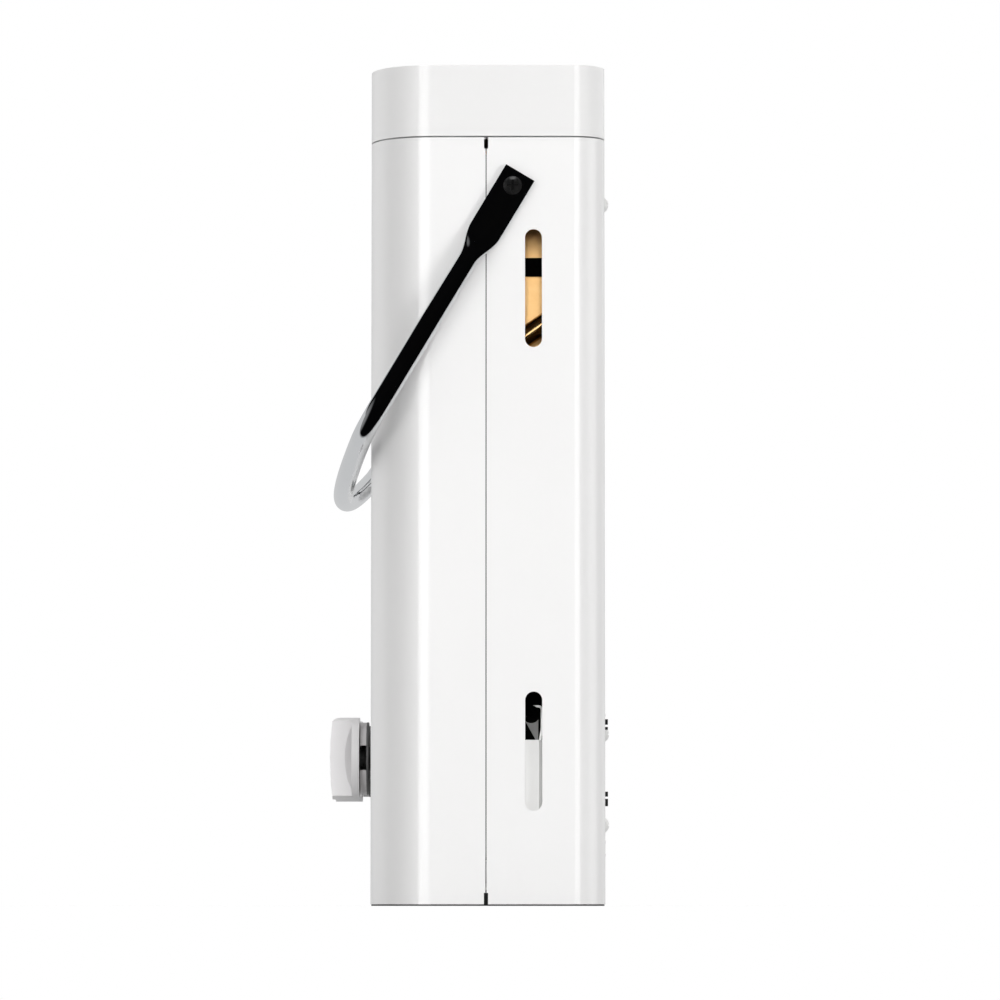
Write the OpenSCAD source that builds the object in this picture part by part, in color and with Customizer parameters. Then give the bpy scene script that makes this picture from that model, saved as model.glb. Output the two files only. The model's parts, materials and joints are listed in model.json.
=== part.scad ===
// Portable propane water heater: sheet-metal case, copper exchanger, burner,
// gas and water valves, and a bent-tube carrying handle.
// Z points up, the case stands on z = 0, and the front faces -Y.

/* [Case] */
// Width of the case, left to right
case_w = 300; // [290:1:330]
// Depth of the case, front to back
case_d = 125; // [122:1:140]
// Overall height, from the floor to the top of the cap
case_h = 447; // [440:1:490]
// Radius of the two upright front corners
front_r = 33; // [26:1:36]
// Radius of the two upright rear corners
rear_r = 16.5; // [12:0.5:20]
// Thickness of the cover sheet
sheet = 0.8; // [0.6:0.1:1.4]
// Height of the rain cap
cap_h = 38; // [36:1:60]
// Thickness of the cap wall
cap_wall = 1; // [0.8:0.1:2]
// Thickness of the black trim that the covers stand on
trim_t = 0.8; // [0.6:0.1:3]
// Distance of the cover seam from the rear face
seam_back = 63.3; // [61:0.1:66]
// Width of the cover seam
seam_gap = 0.6; // [0.3:0.1:1.2]

/* [Side slots] */
// Width of a side slot
slot_w = 9; // [6:0.5:10]
// Length of a side slot, with its round ends
slot_len = 63; // [40:1:80]
// Distance of the slots from the rear face
slot_back = 38.1; // [36:0.1:42]
// Depth of the upper slot's middle below the cap's top
slot_drop = 119.5; // [110:0.5:130]
// Height of the lower slot's middle
slot_low_z = 81.5; // [75:0.5:95]

/* [Handle] */
// Diameter of the handle tube
tube_d = 11; // [9:0.5:13]
// Thickness of the flattened handle end
strap_t = 2.2; // [1.5:0.1:3]
// Width of the flattened handle end
strap_w = 17.7; // [15:0.1:20]
// Length of the flattened end beyond the pivot
strap_end = 8; // [7:0.5:12]
// Straight strap from the pivot to the taper
strap_len = 28; // [20:1:40]
// Length of the taper from strap to tube
taper_len = 19; // [12:1:30]
// Straight arm from the pivot to the corner bend
arm_len = 142.7; // [136:0.1:160]
// Radius of the corner bends, on the tube's middle
corner_r = 12; // [11:1:20]
// Turn of the corner bends
corner_turn = 68.6; // [60:0.1:72]
// How far behind the case's front the corner bends start at rest
bend_lap = 2.5; // [0:0.1:6]
// Radius of the shoulder that the handle turns on
pivot_r = 3.5; // [3:0.1:4]
// Distance of the pivot from the rear face
pivot_back = 49.2; // [47:0.1:55]
// Depth of the pivot below the cap's top
pivot_drop = 65; // [60:1:72]

/* [Knobs] */
// Diameter of a control knob
knob_d = 44.9; // [40:0.1:46]
// Thickness of a control knob
knob_t = 16.4; // [16:0.1:22]
// Distance of each knob from the middle
knob_x = 31; // [29:1:36]
// Height of the knobs
knob_z = 80.7; // [78:0.1:84]
// Gap between a knob's back and the front cover
knob_stand = 7.9; // [7.4:0.1:10]
// Diameter of a control spindle
spindle_d = 8; // [6:0.5:9]

/* [Heat exchanger] */
// Space between the copper chamber and each side of the case
side_space = 32; // [31:1:40]
// Space between the copper chamber and the front of the case
front_space = 25.5; // [25:0.5:30]
// Space between the copper chamber and the rear of the case
rear_space = 15.5; // [15:0.5:20]
// Height of the copper chamber's lower edge above the floor
chamber_z0 = 205; // [200:1:210]
// Wall of the copper chamber
chamber_wall = 0.7; // [0.5:0.1:1.5]
// Height of the tube wrap's front run above the chamber's lower edge
wrap_lift = 54; // [50:0.5:64]
// Diameter of the water tubes
water_d = 11; // [9:0.5:11]
// Wall of the water tubes
water_wall = 1; // [0.6:0.1:1.5]
// Radius of the tube bends, on the tube's middle
bend_r = 7.5; // [7:0.1:7.6]
// Number of exchanger fins
fin_count = 34; // [12:1:40]

/* [Burner] */
// Number of burner blades
blade_count = 10; // [6:1:11]
// Thickness of a burner blade
blade_t = 7; // [5:0.5:9]
// Height of the burner tray
tray_h = 45; // [43:1:50]

/* [Battery] */
// Diameter of a cell
cell_d = 34.2; // [32:0.1:34.2]
// Length of a cell
cell_len = 60; // [58:0.5:61.5]

/* [Connections] */
// Outer diameter of the water threads
water_thread_d = 20.96; // [18:0.01:21]
// Outer diameter of the gas thread
gas_thread_d = 16.66; // [14:0.01:18]
// Height of the base plate above the floor
base_z = 22; // [22:0.5:24]

/* [Hidden] */
$fn = 48;

// ---- Clearances ----
touch = 0.01;
fit = 0.3;
run = 0.05;
screw_gap = 0.2;
through = 1;

// ---- Colours ----
white_paint = [0.94, 0.94, 0.95];
black_rubber = [0.05, 0.05, 0.05];
chrome = [0.75, 0.76, 0.78];
copper = [0.85, 0.5, 0.28];
brass = [0.78, 0.62, 0.3];
zinc = [0.6, 0.62, 0.64];
light_plastic = [0.88, 0.88, 0.88];
dark_plastic = [0.2, 0.2, 0.21];

// ---- Case planes ----
side_x = case_w / 2;
side_in = side_x - sheet;
front_y = -case_d / 2;
rear_y = case_d / 2;
front_in = front_y + sheet;
rear_in = rear_y - sheet;
seam_y = rear_y - seam_back;
cap_z = case_h - cap_h;
cap_gap = 0.8;
cover_top = cap_z - cap_gap;
cover_flange = 9;
lip_w = 9.4;
lip_t = 1;
notch_w = 2.2;
notch_h = 6;
notch_hole = 2;

// ---- Slots ----
slot_y = rear_y - slot_back;
slot_high_z = case_h - slot_drop;

// ---- Handle ----
pivot_y = rear_y - pivot_back;
pivot_z = case_h - pivot_drop;
washer_t = 1;
washer_r = 7.5;
strap_x = side_x + washer_t + fit;
head_x = strap_x + strap_t + fit;
shoulder_top = head_x;
head_r = 5;
head_h = 2.6;
handle_bolt_r = 2.5;
tube_x = strap_x + tube_d / 2;
// Angle of the arms below the horizontal at rest
handle_drop = acos((pivot_y - front_y - bend_lap) / arm_len);

// ---- Base ----
base_t = 1.2;
base_top = base_z + base_t;
base_flange = 9;
base_inset = sheet + fit;

// ---- Exchanger ----
chamber_x = side_x - side_space;
chamber_w = 2 * chamber_x;
chamber_y0 = front_y + front_space;
chamber_y1 = rear_y - rear_space;
chamber_d = chamber_y1 - chamber_y0;
chamber_cy = (chamber_y0 + chamber_y1) / 2;
hood_h = 20.2;
chamber_z1 = cover_top - hood_h;
water_r = water_d / 2;
wrap_off = water_r + fit;
wrap_x = chamber_x + wrap_off;
wrap_front = chamber_y0 - wrap_off;
wrap_rear = chamber_y1 + wrap_off;
band_h = 10;
band_t = 1.2;
band_z = slot_high_z + 9.7;
band_space = 4.4;
wrap_low_z = chamber_z0 + wrap_lift;
wrap_high_z = band_z - band_space - water_r;
fin_tube_z = chamber_z1 - 16;
fin_tube_count = 5;
fin_edge = 10;
fin_pitch_y = (chamber_d - 2 * fin_edge) / (fin_tube_count - 1);
fin_tube_y = [for (i = [0 : fin_tube_count - 1]) chamber_cy + (i - 2) * fin_pitch_y];
riser_x = chamber_x + 12;
uturn_x = chamber_x + 11;
hot_x = wrap_x + wrap_off + water_r + 0.9;
fin_h = 30;
fin_t = 0.5;
sight_w = 40;
sight_h = 14;
sight_z = chamber_z0 + 3;

// ---- Burner ----
tray_x = chamber_x - 6;
tray_y0 = chamber_y0 + 4;
tray_y1 = chamber_y1 - 4;
tray_z0 = chamber_z0 - tray_h;
tray_t = 1;
blade_h = 28;
blade_z = chamber_z0 - 33;
blade_y0 = tray_y0 + 3;
blade_y1 = tray_y1 - 5;
blade_pitch = (2 * tray_x - 22) / blade_count;
inlet_r = 5.5;
inlet_z = blade_z + 6;
bar_t = 2;
bar_w = 6;
manifold_s = 14;
manifold_y1 = tray_y0 - 7;
manifold_y0 = manifold_y1 - manifold_s;
manifold_wall = 2;
manifold_x = tray_x - 14;
nozzle_r = 4;
ear_w = 10;

// ---- Valves ----
valve_y = front_y + 36.5;
valve_half = 16;
valve_front = valve_y - valve_half;
nose_y = front_in + 6;
nose_r = 9;
valve_z0 = knob_z - 22;
water_z1 = knob_z + 22;
gas_z1 = knob_z + 32;
socket_h = 6;
socket_r = 9.5;
water_x = -knob_x;
gas_x = knob_x;
gas_left = gas_x - 15;
water_right = water_x + 18;
disc_r = 26;
flange_t = 6;
rubber_t = 1.5;
disc_x = water_right + flange_t;
cover_x = disc_x + rubber_t;
cover_t = 6.5;
neck_x = cover_x + cover_t + 6;
rod_r = 2.5;
rod_travel = 2.5;
rod_end = gas_left + 4;
collar_x = neck_x + 1;
collar_t = 1.5;
collar_r = 5;
lever_t = 0.8;
lever_x = collar_x + collar_t + fit;
lever_z = knob_z + 20;
lever_hub_r = 1.5;
lever_pin_r = 0.75;
lever_w = 8;
switch_z = lever_z + lever_hub_r + 1;
gas_pipe_r = 5;
drain_x = water_x - 27;
drain_r = 4;

// ---- Connections ----
thread_z = 3;
hex_h = 5;
hex_flat = 26;
nut_flat = 25;
nut_space = 4.4;
hex_z = base_z - hex_h;
neck_r = 9.5;
socket_z = valve_z0 - 10;
hot_out_x = hot_x - 16;
hot_out_top = socket_z;
locknut_h = 4.8;
nut_h = 9;

// ---- Knobs ----
knob_back = front_y - knob_stand;
knob_front = knob_back - knob_t;
knob_r = knob_d / 2;
skirt_t = 4.2;
spindle_r = spindle_d / 2;
hub_r = 6.75;
dial_gap = 2.8;
dial_disc_y = front_y - dial_gap;
dial_disc_t = 1.2;
dial_r = 19.9;
dial_ring_t = knob_stand - dial_gap - dial_disc_t - 0.5;

// ---- Battery ----
box_wall = 1;
box_gap = 0.3;
box_x1 = side_in - 6.8;
box_w = 2 * cell_d + 3 * box_gap + 2 * box_wall;
box_x0 = box_x1 - box_w;
box_corner = 2.9;
box_y1 = slot_y + slot_w / 2 + 1.2;
box_y0 = box_y1 - box_corner - cell_d - 2 * box_gap - 2 * box_wall;
box_z1 = base_top + cell_len + 4.5;
hot_out_y = box_y0 - hex_flat / 2 - nut_space;
door_t = 3;
door_lip = 3;
door_travel = box_w + 4;
door_z1 = base_z - fit;
lug_x = box_x1 - 18;
lug_screw_y = slot_y - 1.2;
lug_screw_z = box_z1 + 14.1;

// ================= Helpers =================

function unit(v) = v / norm(v);
function turn_at(route, i) =
  acos(min(1, max(-1, unit(route[i] - route[i - 1]) * unit(route[i + 1] - route[i]))));
function setback(route, i, br) =
  i <= 0 || i >= len(route) - 1 ? 0 : br * tan(turn_at(route, i) / 2);
function lengthened(route, by) =
  let (n = len(route))
  [for (i = [0 : n - 1])
     i == 0 ? route[0] - unit(route[1] - route[0]) * by
     : i == n - 1 ? route[n - 1] + unit(route[n - 1] - route[n - 2]) * by
     : route[i]];

// Places children with their Z axis along d at p
module aim(p, d) {
  z = unit(d);
  x = unit(abs(z[2]) < 0.9 ? cross([0, 0, 1], z) : cross([0, 1, 0], z));
  y = cross(z, x);
  multmatrix([[x[0], y[0], z[0], p[0]],
              [x[1], y[1], z[1], p[1]],
              [x[2], y[2], z[2], p[2]],
              [0, 0, 0, 1]])
    children();
}

module rod(p, q, r) {
  aim(p, q - p) cylinder(r = r, h = norm(q - p));
}

module elbow(a, b, c, r, br) {
  u = unit(b - a);
  n = unit(cross(u, unit(c - b)));
  s = cross(n, u);
  turn = acos(u * unit(c - b));
  o = b - u * br * tan(turn / 2) + s * br;
  multmatrix([[-s[0], u[0], n[0], o[0]],
              [-s[1], u[1], n[1], o[1]],
              [-s[2], u[2], n[2], o[2]],
              [0, 0, 0, 1]])
    rotate_extrude(angle = turn) translate([br, 0]) circle(r = r);
}

function square_on(v) = max(abs(v[0]), abs(v[1]), abs(v[2])) > 0.99999;
function slanted(route, i) =
  !square_on(unit(route[i] - route[i - 1])) || !square_on(unit(route[i + 1] - route[i]));

// Thin bead that joins a straight to a slanted bend
bead = 0.06;
module joint_bead(p, d, r) {
  rod(p - d * 0.4, p + d * 0.4, r + bead);
}

// Solid bar along a route, with an arc at each corner
module bar(route, r, br) {
  n = len(route);
  for (i = [0 : n - 2]) {
    d = unit(route[i + 1] - route[i]);
    p = route[i] + d * setback(route, i, br);
    q = route[i + 1] - d * setback(route, i + 1, br);
    skew_p = i > 0 && slanted(route, i);
    skew_q = i < n - 2 && slanted(route, i + 1);
    if (norm(q - p) > 0.05) rod(p + d * (skew_p ? 0.1 : 0), q - d * (skew_q ? 0.1 : 0), r);
    if (skew_p) joint_bead(p, d, r);
    if (skew_q) joint_bead(q, d, r);
  }
  for (i = [1 : n - 2]) elbow(route[i - 1], route[i], route[i + 1], r, br);
}

// Hollow tube along a route
module tube(route, r, wall, br) {
  difference() {
    bar(route, r, br);
    bar(lengthened(route, through), r - wall, br);
  }
}

// Case outline, drawn in from the outer face by an inset
module outline(inset) {
  fr = front_r - inset;
  rr = rear_r - inset;
  x = side_x - inset;
  y0 = front_y + inset;
  y1 = rear_y - inset;
  translate([-x + fr, y0]) square([2 * (x - fr), y1 - y0 - rr]);
  translate([-x + rr, y0 + fr]) square([2 * (x - rr), y1 - y0 - fr]);
  translate([-x, y0 + fr]) square([2 * x, y1 - y0 - fr - rr]);
  for (s = [-1, 1]) {
    translate([s * (x - fr), y0 + fr]) circle(r = fr);
    translate([s * (x - rr), y1 - rr]) circle(r = rr);
  }
}

module ring_outline(outer, inner) {
  difference() {
    outline(outer);
    outline(inner);
  }
}

// Box from two opposite corners
module block(a, b) {
  translate(a) cube(b - a);
}

module both_sides() {
  for (s = [-1, 1]) mirror([s < 0 ? 1 : 0, 0, 0]) children();
}

module bolt_y(x, y, z, r, h) {
  translate([x, y, z]) rotate([-90, 0, 0]) cylinder(r = r, h = h);
}

module bolt_x(x, y, z, r, h) {
  translate([x, y, z]) rotate([0, 90, 0]) cylinder(r = r, h = h);
}

module hex(across, h) {
  cylinder(r = across / sqrt(3), h = h, $fn = 6);
}

// Cross-recessed pan head: its seat is at z = 0 and its crown points up
module cross_head(r, h) {
  crown_r = (r * r + h * h) / (2 * h);
  difference() {
    intersection() {
      cylinder(r = r, h = h);
      translate([0, 0, h - crown_r]) sphere(r = crown_r);
    }
    for (a = [0, 90])
      rotate([0, 0, a]) translate([-r * 0.56, -r * 0.11, h * 0.5]) cube([r * 1.12, r * 0.22, h]);
  }
}

// Prism with round ends along Z, cut through a side wall
module side_slot(z) {
  for (s = [-1, 1])
    translate([side_in - through, slot_y, z + s * (slot_len - slot_w) / 2])
      rotate([0, 90, 0]) cylinder(r = slot_w / 2, h = sheet + 2 * through);
  translate([side_in - through, slot_y - slot_w / 2, z - (slot_len - slot_w) / 2])
    cube([sheet + 2 * through, slot_w, slot_len - slot_w]);
}

// ================= Case =================

window_w = 60;
window_h = 34;
window_r = 8;
window_z = sight_z + sight_h / 2;
window_hole_w = window_w + 2 * screw_gap;
cover_hole_r = 5.5;

module round_plate(w, h, r) {
  square([w - 2 * r, h], center = true);
  square([w, h - 2 * r], center = true);
  for (sx = [-1, 1], sy = [-1, 1])
    translate([sx * (w / 2 - r), sy * (h / 2 - r)]) circle(r = r);
}

// Stands a flat outline upright, facing the front, from y for a depth t
module upright(y, z, t) {
  translate([0, y + t, z]) rotate([90, 0, 0]) linear_extrude(t) children();
}

module seam_notches() {
  for (z = [cover_top - notch_h, trim_t - through])
    translate([side_in - through, seam_y - notch_w / 2, z])
      cube([sheet + 2 * through, notch_w, notch_h + through]);
}

module front_cover() {
  color(white_paint) difference() {
    union() {
      translate([0, 0, trim_t]) linear_extrude(cover_top - trim_t) ring_outline(0, sheet);
      translate([0, 0, cover_top - sheet]) linear_extrude(sheet) ring_outline(sheet / 2, cover_flange);
    }
    block([-case_w, seam_y - seam_gap / 2, -through], [case_w, case_d, case_h]);
    both_sides() seam_notches();
    for (x = [-knob_x, knob_x])
      bolt_y(x, front_y - through, knob_z, cover_hole_r, sheet + 2 * through);
    upright(front_y - through, window_z, sheet + 2 * through)
      round_plate(window_hole_w, window_h + 2 * screw_gap, window_r + screw_gap);
  }
}

keyhole_r = 5;
keyhole_slot_r = 2.5;
keyhole_rise = 10;
keyhole_z = case_h - 80;
louvre_len = 36;
louvre_r = 2;
louvre_y = rear_y - louvre_r + 0.8;
louvre_z = [27, 34, 41, 102];

module keyhole(x) {
  bolt_y(x, rear_in - through, keyhole_z, keyhole_r, sheet + 2 * through);
  bolt_y(x, rear_in - through, keyhole_z + keyhole_rise, keyhole_slot_r, sheet + 2 * through);
  translate([x - keyhole_slot_r, rear_in - through, keyhole_z])
    cube([2 * keyhole_slot_r, sheet + 2 * through, keyhole_rise]);
}

rail_x0 = chamber_x - 8;
rail_w = 16;
screw_x = rail_x0 + rail_w / 2;
screw_z = [base_top + 19.7, base_top + 68.1, case_h - 71.1];
keyhole_x = screw_x - 18;
louvre_x = [screw_x - 78, screw_x - 32];
rear_head_r = 4;
rear_head_h = 2.4;
rear_shank_r = 1.9;

module rear_cover() {
  color(white_paint) difference() {
    union() {
      difference() {
        union() {
          translate([0, 0, trim_t]) linear_extrude(cover_top - trim_t) ring_outline(0, sheet);
          translate([0, 0, cover_top - sheet])
            linear_extrude(sheet) ring_outline(sheet / 2, cover_flange);
        }
        block([-case_w, -case_d, -through], [case_w, seam_y + seam_gap / 2, case_h]);
      }
      both_sides() {
        block([side_in - lip_t - fit / 2, seam_y + seam_gap / 2, base_top + 1],
              [side_in, seam_y + lip_w, cover_top - cover_flange]);
        block([side_in - lip_t - fit / 2, seam_y - lip_w + 1, base_top + 1],
              [side_in - fit / 2, seam_y + seam_gap / 2, cover_top - cover_flange]);
      }
      for (s = [-1, 1], x = louvre_x, z = louvre_z)
        bolt_x(s * x - louvre_len / 2, louvre_y, z, louvre_r, louvre_len);
    }
    both_sides() {
      side_slot(slot_high_z);
      side_slot(slot_low_z);
      seam_notches();
      bolt_x(side_in - through, pivot_y, pivot_z, handle_bolt_r + screw_gap, sheet + 2 * through);
    }
    for (s = [-1, 1]) {
      keyhole(s * keyhole_x);
      for (z = screw_z)
        bolt_y(s * screw_x, rear_in - through, z, rear_shank_r + screw_gap, sheet + 2 * through);
      for (x = louvre_x, z = louvre_z) {
        bolt_x(s * x - louvre_len / 2 + 1, louvre_y, z, louvre_r - 0.6, louvre_len - 2);
        block([s * x - louvre_len / 2 + 1, rear_in - 3, z - louvre_r - 0.2],
              [s * x + louvre_len / 2 - 1, rear_y - 0.4, z]);
        block([s * x - louvre_len / 2 - 1, rear_in - 3, z - louvre_r - 1],
              [s * x + louvre_len / 2 + 1, rear_in, z + louvre_r + 1]);
      }
    }
  }
}

cap_in = case_h - cap_wall;
vent_count = 14;
vent_w = 6;
vent_h = 20;
vent_pitch = 15;
vent_z = cap_z + cap_h / 2;

module cap_vents() {
  for (i = [0 : vent_count - 1])
    translate([(i - (vent_count - 1) / 2) * vent_pitch, 0, vent_z]) {
      translate([-vent_w / 2, -case_d, -(vent_h - vent_w) / 2])
        cube([vent_w, 2 * case_d, vent_h - vent_w]);
      for (s = [-1, 1])
        translate([0, -case_d, s * (vent_h - vent_w) / 2])
          rotate([-90, 0, 0]) cylinder(r = vent_w / 2, h = 2 * case_d);
    }
}

module top_cap() {
  color(white_paint) difference() {
    union() {
      translate([0, 0, cap_z]) linear_extrude(cap_in - cap_z) ring_outline(0, cap_wall);
      translate([0, 0, cap_in]) linear_extrude(cap_wall) outline(0);
      translate([0, 0, cap_z]) linear_extrude(cap_wall) ring_outline(cap_wall / 2, cap_wall + 6);
    }
    cap_vents();
  }
}

shield_x = chamber_x - 14;
shield_y = case_d / 2 - 22;
shield_z = cap_in - 5;
shield_t = 1;
shield_foot = 8;

module cap_shield() {
  color(zinc) {
    block([-shield_x, -shield_y, shield_z - shield_t], [shield_x, shield_y, shield_z]);
    both_sides() {
      block([shield_x - shield_t, -shield_y, cap_z], [shield_x, shield_y, shield_z]);
      block([shield_x - shield_t, -shield_y, cap_z],
            [shield_x + shield_foot, shield_y, cap_z + shield_t]);
    }
  }
}

hood_x = chamber_x - 22;
hood_y0 = chamber_cy - 28;
hood_y1 = chamber_cy + 28;

deck_inset = 1.5;
module top_deck() {
  color(zinc) difference() {
    translate([0, 0, cover_top]) linear_extrude(cap_gap) outline(deck_inset);
    block([-hood_x, hood_y0, cover_top - through], [hood_x, hood_y1, cap_z + through]);
  }
}

module base_plate() {
  color(zinc) difference() {
    union() {
      translate([0, 0, base_z]) linear_extrude(base_t) outline(base_inset);
      translate([0, 0, base_z - base_flange])
        linear_extrude(base_flange + base_t / 2) ring_outline(base_inset, base_inset + base_t);
      for (y = [box_y0 - 1, box_y1 + 1]) door_rail(y);
    }
    translate([water_x, valve_y, base_z - through])
      cylinder(r = neck_r + 0.5, h = base_t + 2 * through);
    translate([gas_x, valve_y, base_z - through])
      cylinder(r = neck_r + 0.5, h = base_t + 2 * through);
    translate([hot_out_x, hot_out_y, base_z - through])
      cylinder(r = neck_r + 0.5, h = base_t + 2 * through);
    translate([drain_x, valve_y, base_z - through])
      cylinder(r = 8, h = base_t + 2 * through);
    translate([0, 0, base_z - through]) linear_extrude(base_t + 2 * through) box_outline(box_wall);
  }
}

// One of the two runners that hold the battery door
rail_t = 1;
module door_rail(y) {
  out = y > (box_y0 + box_y1) / 2 ? 1 : -1;
  x0 = box_x0 - door_travel;
  y0 = y + out * (fit + rail_t / 2);
  block([x0, y0 - rail_t / 2, base_z - door_t - 2 * fit - rail_t],
        [box_x1, y0 + rail_t / 2, base_z]);
  y1 = y0 - out * 1.8;
  block([x0, min(y0 + out * rail_t / 2, y1), base_z - door_t - 2 * fit - rail_t],
        [box_x1, max(y0 + out * rail_t / 2, y1), base_z - door_t - 2 * fit]);
}

trim_in = 1;
module base_trim() {
  color(black_rubber) {
    linear_extrude(trim_t) ring_outline(0.5, sheet + fit + 3);
    translate([0, 0, trim_t / 2]) linear_extrude(8) ring_outline(sheet + fit, sheet + fit + trim_in);
  }
}

bezel_t = 2.4;
glass_t = 3;
module window_bezel() {
  color(light_plastic) difference() {
    union() {
      upright(front_y, window_z, bezel_t) round_plate(window_w, window_h, window_r);
      upright(front_in, window_z, bezel_t - sheet) round_plate(window_w + 8, window_h + 8, window_r + 4);
    }
    upright(front_y - through, window_z, bezel_t + 2 * through)
      round_plate(window_w - 10, window_h - 10, window_r - 4);
  }
}

module window_glass() {
  color([0.7, 0.8, 0.85, 0.5])
    upright(front_y + bezel_t, window_z, glass_t) round_plate(window_w + 4, window_h + 4, window_r);
}

module rear_screws() {
  color(light_plastic) for (s = [-1, 1], z = screw_z) {
    translate([s * screw_x, rear_y, z]) rotate([-90, 0, 0]) cross_head(rear_head_r, rear_head_h);
    bolt_y(s * screw_x, rear_in - 5, z, rear_shank_r, sheet + 5.2);
  }
}

bumper_x = screw_x + rear_head_r + 1;
bumper_w = 8;
bumper_h = 1.5;
bumper_z = [base_z + 30.9, base_z + 36, base_z + 71.6, base_z + 74.3];
bumper_len = [3.8, 2.5, 1.3, 2.7];
module rear_bumpers() {
  color(black_rubber) both_sides()
    for (i = [0 : 3])
      block([bumper_x, rear_y, bumper_z[i]],
            [bumper_x + bumper_w, rear_y + bumper_h, bumper_z[i] + bumper_len[i]]);
}

module chassis_rails() {
  color(zinc) both_sides() difference() {
    union() {
      block([rail_x0, rear_in - 1.5, base_top], [rail_x0 + rail_w, rear_in, cover_top - cover_flange]);
      for (z = [[chamber_z0 + 20, chamber_z0 + 40], [fin_tube_z - 20, fin_tube_z - 8]]) {
        block([rail_x0 - 8, chamber_y1, z[0]], [rail_x0 + 6, chamber_y1 + 1.2, z[1]]);
        block([rail_x0 + 4.8, chamber_y1, z[0]], [rail_x0 + 6, rear_in - 1, z[1]]);
      }
    }
    for (z = screw_z)
      bolt_y(screw_x, rear_in - 3, z, rear_shank_r + 0.1, 4);
  }
}

// ================= Handle =================

module handle_washers() {
  color([0.85, 0.85, 0.8]) both_sides() difference() {
    bolt_x(side_x, pivot_y, pivot_z, washer_r, washer_t);
    bolt_x(side_x - through, pivot_y, pivot_z, pivot_r + 0.1, washer_t + 2 * through);
  }
}

nut_plate_t = 1.5;
nut_t = 4;
module handle_screws() {
  color(dark_plastic) both_sides() {
    bolt_x(side_x, pivot_y, pivot_z, pivot_r, shoulder_top - side_x);
    bolt_x(side_in - nut_plate_t - nut_t - 1, pivot_y, pivot_z, handle_bolt_r,
           sheet + nut_plate_t + nut_t + 1.5);
    translate([head_x, pivot_y, pivot_z]) rotate([0, 90, 0]) cross_head(head_r, head_h);
  }
}

module handle_nuts() {
  color(zinc) both_sides() difference() {
    union() {
      block([side_in - nut_plate_t, seam_y + lip_w + 0.2, pivot_z - 14],
            [side_in, pivot_y + 12, pivot_z + 12]);
      translate([side_in - nut_plate_t - nut_t, pivot_y, pivot_z]) rotate([0, 90, 0]) hex(8, nut_t + 0.1);
    }
    bolt_x(side_in - 10, pivot_y, pivot_z, handle_bolt_r + 0.05, 12);
  }
}

// Bail in its own plane: X across the case, Y along the arms from the pivot
bow_x = tube_x - corner_r * (1 - cos(corner_turn));
bow_y = arm_len + corner_r * sin(corner_turn);
bow_r = bow_x / cos(corner_turn);

module handle_arm() {
  difference() {
    union() {
      block([strap_x, -strap_end, -strap_w / 2], [strap_x + strap_t, strap_len, strap_w / 2]);
      hull() {
        block([strap_x + 0.03, strap_len - 1, 0.03 - strap_w / 2],
              [strap_x + strap_t - 0.03, strap_len - 0.02, strap_w / 2 - 0.03]);
        translate([tube_x, strap_len + taper_len, 0]) rotate([-90, 0, 0])
          cylinder(r = tube_d / 2 + 0.12, h = 1, $fn = 32);
      }
      translate([tube_x, strap_len + taper_len + 0.4, 0]) rotate([-90, 0, 0])
        cylinder(r = tube_d / 2, h = arm_len - strap_len - taper_len - 0.4);
      translate([tube_x - corner_r, arm_len, 0])
        rotate_extrude(angle = corner_turn) translate([corner_r, 0]) circle(r = tube_d / 2);
    }
    translate([strap_x - through, 0, 0]) rotate([0, 90, 0])
      cylinder(r = pivot_r + run, h = strap_t + 2 * through);
  }
}

bow_gap = 0.02;
module carry_handle() {
  color(chrome)
    translate([0, pivot_y, pivot_z]) rotate([180 + handle_drop, 0, 0]) {
      both_sides() {
        handle_arm();
        translate([bow_x, bow_y, 0]) rotate([0, 0, corner_turn]) rotate([90, 0, 0])
          translate([0, 0, -0.5]) cylinder(r = tube_d / 2 + bead, h = 1);
      }
      translate([0, bow_y - bow_r * sin(corner_turn), 0]) rotate([0, 0, corner_turn + bow_gap])
        rotate_extrude(angle = 180 - 2 * corner_turn - 2 * bow_gap)
          translate([bow_r, 0]) circle(r = tube_d / 2);
    }
}

// ================= Knobs and dials =================

module dial_bases() {
  color(dark_plastic) for (x = [-knob_x, knob_x]) difference() {
    union() {
      bolt_y(x, dial_disc_y - dial_disc_t, knob_z, dial_r, dial_disc_t);
      bolt_y(x, knob_back - 0.6, knob_z, hub_r, knob_stand + 0.6);
      bolt_y(x, front_y - 0.1, knob_z, cover_hole_r - screw_gap, sheet + 2);
    }
    bolt_y(x, knob_back - 2, knob_z, spindle_r + fit, knob_stand + 8);
  }
}

module dial_rings() {
  y0 = dial_disc_y - dial_disc_t - dial_ring_t;
  color(light_plastic) for (x = [-knob_x, knob_x]) difference() {
    bolt_y(x, y0, knob_z, dial_r - 0.1, dial_ring_t);
    bolt_y(x, y0 - through, knob_z, dial_r - 9, dial_ring_t + 2 * through);
    block([x - dial_r - 1, y0 - through, knob_z - hub_r], [x + dial_r + 1, y0 + dial_ring_t + through, knob_z + hub_r]);
  }
}

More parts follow.
